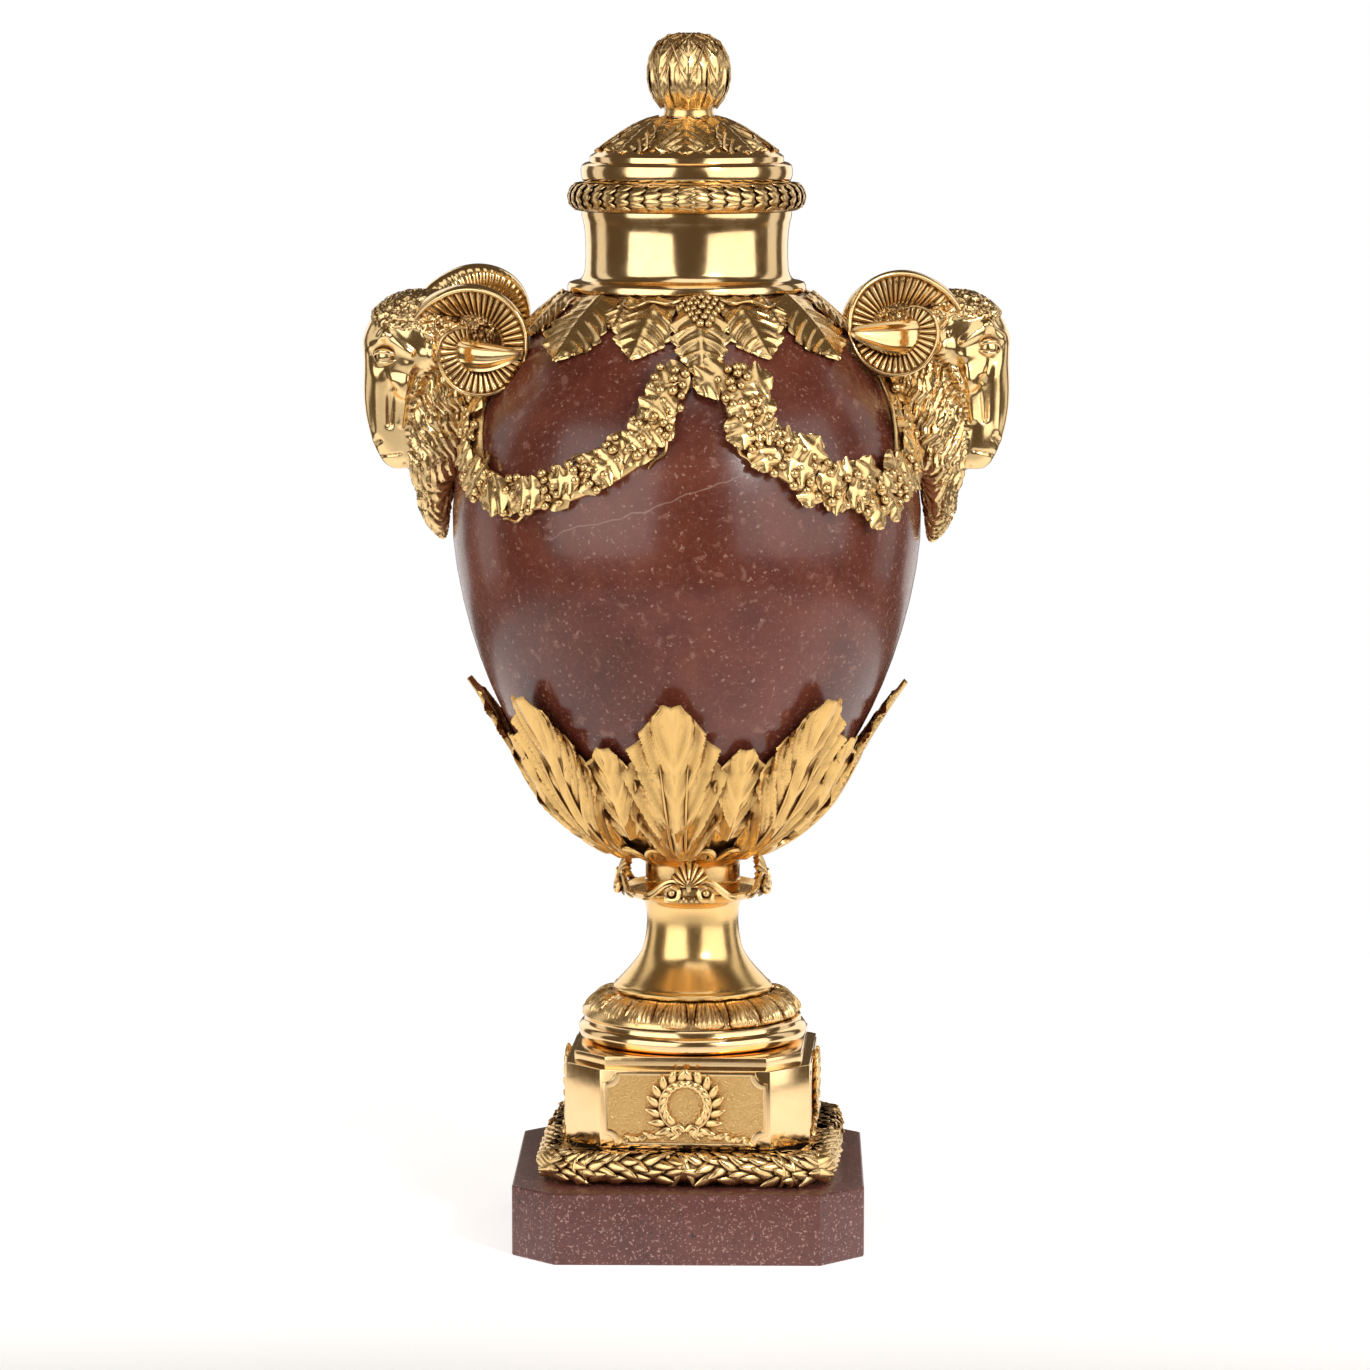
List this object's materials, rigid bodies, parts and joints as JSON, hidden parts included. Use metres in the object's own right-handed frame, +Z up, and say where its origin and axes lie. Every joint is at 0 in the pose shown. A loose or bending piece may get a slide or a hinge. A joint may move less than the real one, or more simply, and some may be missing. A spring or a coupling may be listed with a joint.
{
  "type": "decorative urn",
  "caption": "Tall lidded urn of polished red marble in gilt bronze mounts, with rams' heads, vine swags, an acanthus cup and a stepped foot.",
  "frame": {"origin": "centre of the underside of the plinth, on the urn's axis", "axes": "+Z up along the urn's axis, -Y out of the front, X from the left ram's head to the right one"},
  "size_m": [0.3207, 0.236, 0.6008],
  "materials": {
    "gilt_bronze": "bright fire gilding, burnished on the plain bands and on the rams' faces and horns",
    "satin_gilt": "satin gilding with darker hollows",
    "body_marble": "polished dark red marble with pale flecks and fine veins",
    "plinth_marble": "honed dark red marble with many pinkish specks"
  },
  "bodies": {
    "root": {"marble_plinth": "plinth_marble", "laurel_moulding": "gilt_bronze", "pedestal": "gilt_bronze", "round_step": "gilt_bronze", "leaf_moulding": "gilt_bronze", "stem": "satin_gilt", "shell_collar": "satin_gilt", "body_seat": "satin_gilt", "acanthus_cup": "satin_gilt", "marble_body": "body_marble", "vine_collar": "gilt_bronze", "neck_mount": "gilt_bronze", "rim_wreath": "gilt_bronze", "lid": "gilt_bronze", "bud_knob": "gilt_bronze", "ram_head_right": "gilt_bronze", "ram_head_left": "gilt_bronze", "swag_front_left": "gilt_bronze", "swag_front_right": "gilt_bronze", "swag_back_right": "gilt_bronze", "swag_back_left": "gilt_bronze"}
  },
  "joints": []
}
